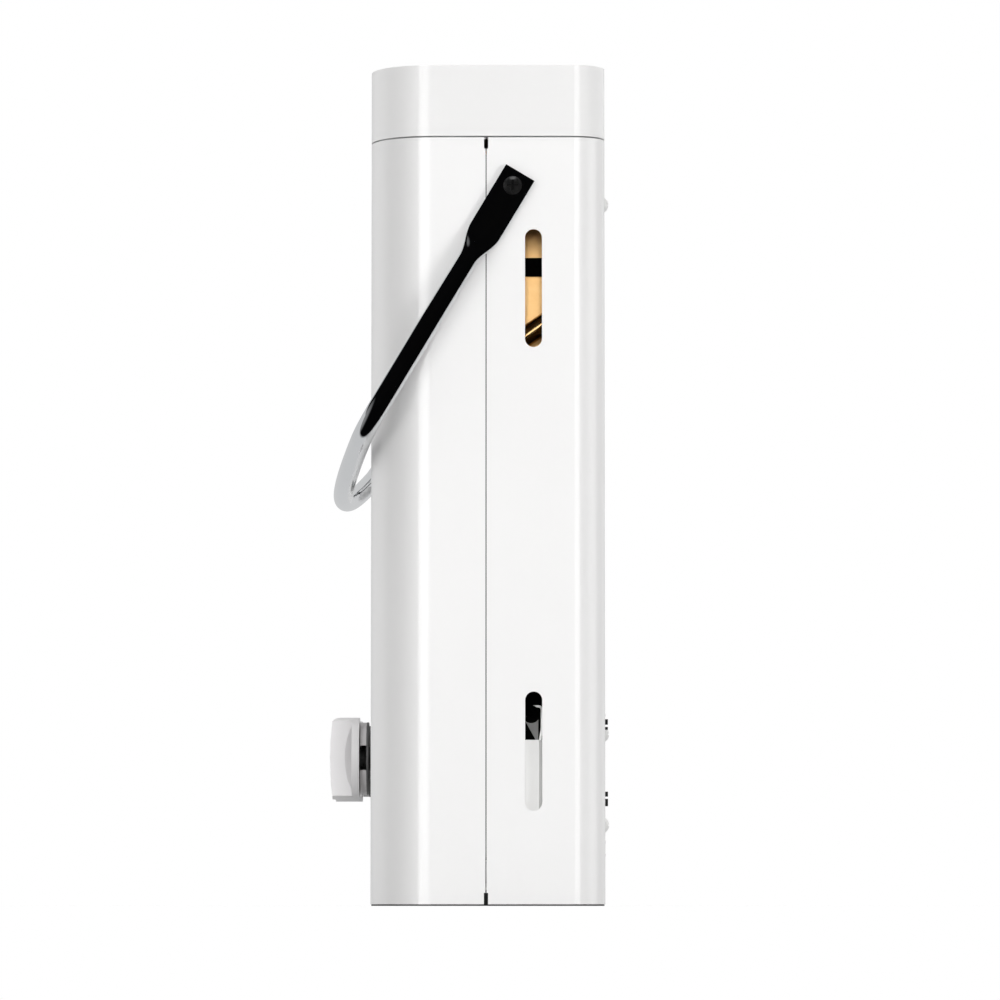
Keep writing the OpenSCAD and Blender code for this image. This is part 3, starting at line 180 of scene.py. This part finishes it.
def seam_painted_shade(nt, colour):
    """Painted shade: dark on the lip that lies behind each side seam, a little below the cover's face."""
    seam_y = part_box("front_cover")[1][1] + 0.0003
    side_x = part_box("rear_cover")[1][0]
    half, soft, below = 0.0013, 0.0001, 0.0003
    y = coordinate(nt, "Y")
    near = maths(nt, "MULTIPLY", between(nt, y, seam_y - half - soft, seam_y - half),
                 between(nt, y, seam_y + half + soft, seam_y + half))
    deep = between(nt, maths(nt, "ABSOLUTE", coordinate(nt, "X")), side_x - below, side_x - 2 * below)
    # The painted shade falls to 0.12 of the colour where the seam band and the lip's depth meet.
    return multiply(nt, colour, span(nt, maths(nt, "MULTIPLY", near, deep), 1.0, 0.12))


def window_glass():
    m, nt, b = new_material("window_glass")
    fill(nt, b, Base_Color=(0.86, 0.90, 0.92, 1), Transmission_Weight=0.9, IOR=1.47,
         Roughness=span(nt, noise(nt, 60.0), 0.03, 0.09), Normal=grain_normal(nt, 300.0, 0.000004, 3.0))
    return m


PAINT = {"low": (0.868, 0.864, 0.862), "high": (0.882, 0.879, 0.876), "rough": (0.36, 0.44), "coat": 0.55,
         "tint_scale": 6.0, "grain_scale": 1300.0, "grain": 0.000006}

M = {
    "paint": surface("white_enamel", **PAINT),
    # The rear cover's enamel, with painted shade on the lip behind its seam.
    "seam_shaded_paint": surface("white_enamel_seam_shade", **PAINT, shade=seam_painted_shade),
    # The knobs carry painted shade: their colour darkens from the face toward the skirt.
    "knob": surface("satin_knob_plastic", (0.80, 0.79, 0.795), (0.84, 0.83, 0.835), (0.30, 0.40),
                    grain_scale=2600.0, grain=0.00001, shade=knob_painted_shade),
    "ring_plastic": surface("ring_plastic", (0.42, 0.405, 0.41), (0.47, 0.455, 0.46), (0.30, 0.40),
                            grain_scale=2600.0, grain=0.00001),
    "white_plastic": surface("white_plastic", (0.80, 0.80, 0.79), (0.85, 0.85, 0.84), (0.36, 0.46),
                             grain_scale=2600.0),
    "dark_plastic": surface("dark_plastic", (0.050, 0.050, 0.051), (0.075, 0.075, 0.076), (0.45, 0.6),
                            grain_scale=2200.0),
    "rubber": surface("black_rubber", (0.010, 0.010, 0.010), (0.018, 0.018, 0.018), (0.6, 0.75),
                      grain_scale=1500.0, grain=0.00003),
    "black": surface("black_coating", (0.003, 0.003, 0.003), (0.005, 0.005, 0.005), (0.5, 0.65),
                     grain_scale=2000.0, grain=0.00001, spec=0.08),
    "zinc": surface("zinc_sheet", (0.50, 0.51, 0.52), (0.62, 0.63, 0.64), (0.30, 0.44), metal=0.85,
                    tint_scale=60.0, grain_scale=900.0, grain=0.00001),
    "tin": surface("tinned_lug", (0.25, 0.25, 0.25), (0.30, 0.30, 0.295), (0.45, 0.55), metal=0.3,
                   tint_scale=90.0, grain_scale=900.0, grain=0.00001),
    "steel": surface("burner_steel", (0.46, 0.45, 0.43), (0.60, 0.59, 0.57), (0.25, 0.4), metal=0.9,
                     tint_scale=80.0, grain_scale=1200.0, grain=0.00001),
    "dark_screw": surface("dark_plated_screw", (0.055, 0.055, 0.055), (0.085, 0.085, 0.085), (0.22, 0.32),
                          metal=0.8, tint_scale=200.0, grain_scale=900.0, grain=0.000004),
    "chrome": surface("chrome_plate", (0.84, 0.85, 0.86), (0.87, 0.88, 0.89), (0.035, 0.06), metal=1.0,
                      tint_scale=12.0, grain_scale=700.0, grain=0.000001),
    "copper": surface("copper_sheet", (0.93, 0.55, 0.21), (1.00, 0.65, 0.28), (0.48, 0.60), metal=0.45,
                      tint_scale=55.0, grain_scale=800.0, grain=0.000006),
    # The pipe's copper is a darker copy of the sheet's: painted shade that keeps the pipe dark beside its
    # highlight.
    "pipe": surface("copper_pipe_painted_dark", (0.50, 0.31, 0.13), (0.60, 0.40, 0.18), (0.12, 0.15), metal=1.0,
                    tint_scale=30.0, grain_scale=500.0, grain=0.0000004),
    "brass": surface("cast_brass", (0.66, 0.47, 0.20), (0.78, 0.60, 0.30), (0.28, 0.42), metal=0.85,
                     tint_scale=70.0, grain_scale=1400.0, grain=0.00003),
    "ceramic": surface("glazed_ceramic", (0.82, 0.80, 0.74), (0.88, 0.86, 0.81), (0.15, 0.25)),
    "red_cable": surface("silicone_cable", (0.33, 0.05, 0.03), (0.42, 0.07, 0.045), (0.5, 0.6)),
    "white_cable": surface("white_cable", (0.86, 0.86, 0.85), (0.90, 0.90, 0.89), (0.35, 0.45)),
    "cell": surface("cell_wrap", (0.05, 0.07, 0.11), (0.07, 0.09, 0.14), (0.2, 0.3)),
    "glass": window_glass(),
}

LOOK = {
    "paint": ["front_cover", "top_cap"],
    "knob": ["gas_knob", "water_knob"],
    "seam_shaded_paint": ["rear_cover"],
    "ring_plastic": ["dial_rings"],
    "white_plastic": ["window_bezel", "battery_box", "battery_door", "rear_screws", "tip_switch",
                      "handle_washers"],
    "dark_plastic": ["dial_bases", "solenoid_valve", "microswitch", "igniter_module", "thermal_cutout"],
    "rubber": ["base_trim", "rear_bumpers", "diaphragm", "drain_plug"],
    "black": ["exchanger_band", "lug_screw"],
    "zinc": ["cap_shield", "top_deck", "base_plate", "chassis_rails", "handle_nuts", "gas_manifold",
             "gas_valve", "valve_screws", "push_rod", "switch_lever", "burner_tray"],
    "tin": ["battery_lug"],
    "steel": ["burner_blades"],
    "chrome": ["carry_handle"],
    "dark_screw": ["handle_screws"],
    "copper": ["flue_hood", "exchanger_shell", "exchanger_fins"],
    "pipe": ["exchanger_coil", "cold_pipe"],
    "brass": ["gas_nozzles", "gas_inlet", "water_valve", "diaphragm_cover", "cold_inlet", "hot_outlet",
              "locknuts", "pipe_nuts", "battery_contacts", "gas_spindle", "water_spindle"],
    "ceramic": ["spark_electrodes"],
    "red_cable": ["igniter_leads"],
    "white_cable": ["battery_lead"],
    "cell": ["batteries"],
    "glass": ["window_glass"],
}


def dress(o, material, sharp):
    """One material, smooth faces, and a crease where they turn by more than sharp degrees."""
    o.data.materials.clear()
    o.data.materials.append(material)
    for p in o.data.polygons:
        p.material_index = 0
        p.use_smooth = True
    o.data.set_sharp_from_angle(angle=math.radians(sharp))


for look, names in LOOK.items():
    for n in names:
        dress(nodes[n], M[look], 28)


# ---------------------------------------------------------------- bail handle
# One bar swept along its own path: flattened at both ends, drawn smoothly into the round bar, and bent to
# the bow across the front. Lengths are in millimetres in the bail's own plane: X across the case, Y along
# the arms from the pivot. Its bends are wider than those of the solid, and the bow lies where it does there.

STRAP_T, STRAP_W, STRAP_END, STRAP_LEN = 2.2, 17.7, 8.0, 28.0
STRAP_CORNER = 0.16                 # exponent of the strap's outline; 1 is round
TAPER_LEN, TAPER_RUN = 19.0, 1.5    # the rows of the taper start and end a run beyond it
TUBE_R, ARM_LEN, BEND_R = 5.5, 142.7, 24.0
SOLID_BEND_R, SOLID_BEND_TURN = 12.0, math.radians(68.6)
SOLID_TAPER_RISE = 0.12             # the solid's taper stands out of its tube by this
BEND_LAP = 2.5                      # the arms end this far behind the front of the case
SCREW_HOLE_R = 3.6
RING = 56                           # points round the bar

strap_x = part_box("carry_handle")[1][0] * 1000 - 2 * TUBE_R - SOLID_TAPER_RISE
tube_x = strap_x + TUBE_R
bow_x = tube_x - SOLID_BEND_R * (1 - math.cos(SOLID_BEND_TURN))
bow_r = bow_x / math.cos(SOLID_BEND_TURN)
bow_mid = ARM_LEN + (SOLID_BEND_R - bow_r) * math.sin(SOLID_BEND_TURN)
bend_y = bow_mid + math.sqrt((bow_r - BEND_R) ** 2 - (tube_x - BEND_R) ** 2)
bend_turn = math.acos((tube_x - BEND_R) / (bow_r - BEND_R))


def steps(low, high, n):
    return [low + (high - low) * i / n for i in range(n)]


def arc_stations(centre_x, centre_y, radius, start, end, n):
    """Stations of the round bar along an arc."""
    out = []
    for w in steps(start, end, n):
        c, s = math.cos(w), math.sin(w)
        out.append(((centre_x + radius * c, centre_y + radius * s), (c, s), TUBE_R, TUBE_R, 1.0))
    return out


def arm_stations():
    """Stations from the strap's end over the taper to the end of the straight bar."""
    strap_rows = [-STRAP_END, 0.3 - STRAP_END, 0.0, 12.0, 24.0]
    taper_rows = steps(STRAP_LEN - TAPER_RUN, STRAP_LEN + TAPER_LEN + TAPER_RUN, 26)
    out = []
    for y in strap_rows + taper_rows:
        t = min(1.0, max(0.0, (y - STRAP_LEN) / TAPER_LEN))
        t = t * t * (3 - 2 * t)
        half_t = STRAP_T / 2 + (TUBE_R - STRAP_T / 2) * t
        half_w = STRAP_W / 2 + (TUBE_R - STRAP_W / 2) * t
        corner = STRAP_CORNER + (1 - STRAP_CORNER) * t
        out.append(((strap_x + half_t, y), (1.0, 0.0), half_t, half_w, corner))
    for y in steps(STRAP_LEN + TAPER_LEN + 2 * TAPER_RUN, bend_y, 14):
        out.append(((tube_x, y), (1.0, 0.0), TUBE_R, TUBE_R, 1.0))
    return out


def bail_stations():
    """Each station: centre, outward direction, half thickness, half width, corner exponent."""
    half = arm_stations()
    half += arc_stations(tube_x - BEND_R, bend_y, BEND_R, 0.0, bend_turn, 22)
    half += arc_stations(0.0, bow_mid, bow_r, bend_turn, math.pi / 2, 26)
    middle = ((0.0, bow_mid + bow_r), (0.0, 1.0), TUBE_R, TUBE_R, 1.0)
    far = [((-p[0], p[1]), (-n[0], n[1]), t, w, corner) for p, n, t, w, corner in reversed(half)]
    return half + [middle] + far


def outline_point(half, corner, part):
    """One coordinate of a ring's point. part is the cosine or the sine of its angle."""
    return half * math.copysign(abs(part) ** corner, part) if abs(part) > 1e-9 else 0.0


def bail_mesh(pivot):
    """The swept bar, hung from its pivots as the solid is, in metres."""
    front_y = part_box("front_cover")[0][1] * 1000
    turn = math.pi + math.acos((pivot.y * 1000 - front_y - BEND_LAP) / ARM_LEN)
    ct, st = math.cos(turn), math.sin(turn)
    rows = bail_stations()
    verts, faces = [], []
    for (px, py), (nx, ny), half_t, half_w, corner in rows:
        for k in range(RING):
            w = 2 * math.pi * k / RING
            u = outline_point(half_t, corner, math.cos(w))
            z = outline_point(half_w, corner, math.sin(w))
            x, y = px + nx * u, py + ny * u
            verts.append((x / 1000, pivot.y + (y * ct - z * st) / 1000, pivot.z + (y * st + z * ct) / 1000))
    for i in range(len(rows) - 1):
        for k in range(RING):
            p, q = i * RING + k, i * RING + (k + 1) % RING
            faces.append((p, q, q + RING, p + RING))
    faces.append(tuple(range(RING)))
    faces.append(tuple(reversed(range((len(rows) - 1) * RING, len(rows) * RING))))
    me = bpy.data.meshes.new("bail")
    me.from_pydata(verts, [], faces)
    me.validate()
    bm = bmesh.new()
    bm.from_mesh(me)
    bmesh.ops.recalc_face_normals(bm, faces=bm.faces)
    bm.to_mesh(me)
    bm.free()
    return me


def drill(o, pivot, radius):
    """Cuts the holes for both shoulder screws with one bar across the case."""
    bm = bmesh.new()
    bmesh.ops.create_cone(bm, cap_ends=True, segments=48, radius1=radius, radius2=radius, depth=0.4)
    rod = bpy.data.meshes.new("hole")
    bm.to_mesh(rod)
    bm.free()
    cutter = add_object("hole", rod)
    cutter.rotation_euler = (0, math.pi / 2, 0)
    cutter.location = (0, pivot.y, pivot.z)
    holes = o.modifiers.new("holes", "BOOLEAN")
    holes.operation = "DIFFERENCE"
    holes.solver = "EXACT"
    holes.object = cutter
    bpy.context.view_layer.update()
    drilled = bpy.data.meshes.new_from_object(o.evaluated_get(bpy.context.evaluated_depsgraph_get()))
    o.modifiers.clear()
    o.data = drilled
    bpy.data.objects.remove(cutter)


def joint_place(name):
    joints = frame["record"]["behaviour"]["joints"]
    return next(Vector(j["pos_m"]) for j in joints if j["name"] == name)


pivot = joint_place("handle_swing")
handle = add_object("bail_handle", bail_mesh(pivot))
drill(handle, pivot, SCREW_HOLE_R / 1000)
dress(handle, M["chrome"], 40)
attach(handle, "handle")
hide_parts("carry_handle")


# ---------------------------------------------------------------- camera
# Square to the side, from just over the floor, looking up a little. The longer way, over 3 m, keeps the
# perspective as slight as the view has it.

CAMERA_AT = (3.063, 0.0066, 0.0006)
CAMERA_UP = 4.2
LENS_MM = 198.4


def add_camera():
    data = bpy.data.cameras.new("camera")
    data.sensor_width = 36.0
    data.lens = LENS_MM
    data.clip_start = 0.01
    data.clip_end = 50.0
    cam = add_object("camera", data)
    cam.location = CAMERA_AT
    cam.rotation_euler = (math.radians(90 + CAMERA_UP), 0, math.radians(90))
    bpy.context.scene.camera = cam


add_camera()


# ---------------------------------------------------------------- floor

def floor_paper():
    """Pale paper that keeps the heater's shadow, and turns pure white away from it for the camera, so that
    no horizon shows from any side."""
    m, nt, b = new_material("floor_paper")
    fill(nt, b, Base_Color=(0.50, 0.50, 0.50, 1), Roughness=0.9, Specular_IOR_Level=0.1)
    lit = nt.nodes.new("ShaderNodeAddShader")
    nt.links.new(b.outputs[0], lit.inputs[0])
    nt.links.new(add(nt, "Emission", Strength=0.55).outputs[0], lit.inputs[1])
    white = add(nt, "Emission", Strength=1.0).outputs[0]
    far = between(nt, vector_value(nt, "LENGTH", coordinates(nt)), 0.30, 0.85)
    seen = mix_shaders(nt, far, lit.outputs[0], white)
    camera_ray = nt.nodes.new("ShaderNodeLightPath").outputs["Is Camera Ray"]
    paper = mix_shaders(nt, camera_ray, b.outputs[0], seen)
    nt.links.new(paper, nt.nodes["Material Output"].inputs["Surface"])
    return m


def add_floor(side):
    s = side / 2
    me = bpy.data.meshes.new("floor")
    me.from_pydata([(-s, -s, 0), (s, -s, 0), (s, s, 0), (-s, s, 0)], [], [(0, 1, 2, 3)])
    me.materials.append(floor_paper())
    o = add_object("floor", me)
    o.visible_glossy = False
    return o


floor = add_floor(30.0)


# ---------------------------------------------------------------- studio

ARM_DOWN = (0.0, -0.514, -0.858)    # the way that the lowered arms of the bail point
BLACK_FLAG = (0.0016, 0.0016, 0.0018)
SOFT_LIGHT = (0.60, 0.605, 0.61)


def mirror_light(nt):
    """How bright polished metal sees each direction, from 0 to 1: light behind the heater, a soft light
    above and a weak one in front, and black flags elsewhere, drawn back where the bail bends."""
    direction = coordinates(nt, "Generated")
    axes = add(nt, "SeparateXYZ", Vector=direction).outputs
    edge = between(nt, vector_value(nt, "DOT_PRODUCT", direction, ARM_DOWN), 0.0, 0.35, -0.62, -0.02)
    behind = between(nt, maths(nt, "SUBTRACT", edge, axes["X"]), -0.05, 0.08)
    ahead = between(nt, axes["Y"], -0.83, -0.97, 0.0, 0.35)
    above = between(nt, axes["Z"], 0.90, 0.99, 0.0, 0.9)
    return maths(nt, "MAXIMUM", behind, maths(nt, "MAXIMUM", ahead, above))


def studio_world():
    """White for the camera, an even dim room for diffuse light, and the flags and lights of mirror_light
    for polished metal."""
    world = bpy.data.worlds.new("studio")
    bpy.context.scene.world = world
    world.use_nodes = True
    nt = world.node_tree
    nt.nodes.clear()
    seen = add(nt, "Background", Color=(1, 1, 1, 1), Strength=1.0).outputs[0]
    room = add(nt, "Background", Color=(1.0, 0.995, 0.99, 1), Strength=0.45).outputs[0]
    mirror_colour = ramp(nt, mirror_light(nt), BLACK_FLAG, SOFT_LIGHT, (0.0, 1.0))
    mirror = add(nt, "Background", Color=mirror_colour, Strength=1.0).outputs[0]
    rays = nt.nodes.new("ShaderNodeLightPath").outputs
    unseen = mix_shaders(nt, rays["Is Glossy Ray"], room, mirror)
    all_rays = mix_shaders(nt, rays["Is Camera Ray"], unseen, seen)
    nt.links.new(all_rays, nt.nodes.new("ShaderNodeOutputWorld").inputs["Surface"])


studio_world()


# ---------------------------------------------------------------- lamps

def linked(name, members, state):
    """A collection for light linking that includes or excludes its members."""
    group = bpy.data.collections.new(name)
    for o in members:
        group.objects.link(o)
    for member in group.collection_objects:
        member.light_linking.link_state = state
    return group


def lamp(name, azimuth, elevation, reach, aim, size, factor, glossy=True, diffuse=True, only=None,
         past_floor=False):
    """A soft box. azimuth, from +X toward +Y, and elevation are seen from aim, in degrees. factor is the
    light that it adds there, where 1 shows a colour as it is written. only names the nodes that it lights,
    and past_floor lets it shine through the floor."""
    data = bpy.data.lights.new(name, "AREA")
    data.shape = "RECTANGLE"
    data.size, data.size_y = size
    data.energy = factor * math.pi ** 2 * reach ** 2
    o = add_object(name, data)
    az, el = math.radians(azimuth), math.radians(elevation)
    away = Vector((math.cos(el) * math.cos(az), math.cos(el) * math.sin(az), math.sin(el)))
    o.location = Vector(aim) + reach * away
    o.rotation_euler = (-away).to_track_quat("-Z", "Y").to_euler()
    o.visible_camera = False
    o.visible_glossy = glossy
    o.visible_diffuse = diffuse
    if past_floor:
        o.light_linking.blocker_collection = linked(name + "_blocks", [floor], "EXCLUDE")
    if only:
        o.light_linking.receiver_collection = linked(name + "_lit", [nodes[n] for n in only], "INCLUDE")
    elif glossy:
        o.light_linking.receiver_collection = linked(name + "_lit", [handle], "EXCLUDE")


SIDE = (0.15, 0.0066, 0.20)         # the middle of the side that the camera sees
MIDDLE = (0, 0, 0.2)
COVERS = ["front_cover", "rear_cover"]
PAINTED = COVERS + ["top_cap"]
IN_THE_SLOTS = ["exchanger_shell", "exchanger_coil", "battery_box", "battery_lead", "battery_lug"]
KNOBS = ["gas_knob", "water_knob", "dial_rings", "dial_bases"]
KEY_REACH, KEY_STEP, KEY_SIZE = 3.3, 0.05, (0.5, 1.75)


def key_place(step):
    """A lamp at the key's place. Each is a step farther away than the last one and looks as large, since
    lamps in the very same place would come out brighter or darker by chance."""
    reach = KEY_REACH + step * KEY_STEP
    return 0, 15, reach, SIDE, [s * reach / KEY_REACH for s in KEY_SIZE]


# The key is weak on the paint and stronger on what lies deep in the slots.
lamp("key", *key_place(0), 0.08, glossy=False)
lamp("key_inside", *key_place(1), 0.64, glossy=False, only=IN_THE_SLOTS)
lamp("key_glint", *key_place(2), 0.38, diffuse=False, only=["exchanger_shell"])
lamp("pipe_glint", *key_place(3), 0.08, diffuse=False, only=["exchanger_coil"])
lamp("lead_light", *key_place(4), 0.80, glossy=False, only=["battery_lead"])
lamp("cap_key", *key_place(5), 0.065, glossy=False, only=["top_cap"])
lamp("knob_light", -30, 14, 3.0, (0.1, -0.07, 0.08), (0.9, 1.2), 0.34, only=KNOBS)

# Two low lamps light the side evenly from top to bottom, and the fills light the other faces.
lamp("side_front", -42, 3, 3.0, SIDE, (0.9, 1.5), 0.19, glossy=False, past_floor=True)
lamp("side_rear", 48, 3, 3.0, SIDE, (0.9, 1.5), 0.35, glossy=False, past_floor=True)
lamp("fill_front", -122, 14, 3.0, MIDDLE, (1.4, 1.8), 0.30, glossy=False)
lamp("fill_rear", 128, 14, 3.0, MIDDLE, (1.4, 1.8), 0.26, glossy=False)
lamp("fill_top", 0, 88, 2.6, (0, 0, 0.4), (2.0, 2.0), 0.26)
lamp("fill_left", 180, 16, 3.0, (-0.15, 0, 0.2), (1.4, 1.4), 0.22, glossy=False)

# What the paint mirrors: a wide sheen, one bright strip at each rounded corner, and a wide one behind.
SHEEN = {"diffuse": False, "past_floor": True}
lamp("sheen", -3, 10, 3.2, SIDE, (2.80, 2.7), 0.42, only=COVERS, **SHEEN)
lamp("strip_front", -18, 10, 3.0, SIDE, (0.84, 2.4), 0.32, only=PAINTED, **SHEEN)
lamp("strip_rear", 13.5, 10, 3.0, SIDE, (0.86, 2.4), 0.26, only=PAINTED, **SHEEN)
lamp("sheen_rear", 74, 10, 3.0, SIDE, (1.9, 2.4), 0.27, only=COVERS, **SHEEN)

bpy.context.scene.view_settings.view_transform = "Standard"

bpy.context.view_layer.update()
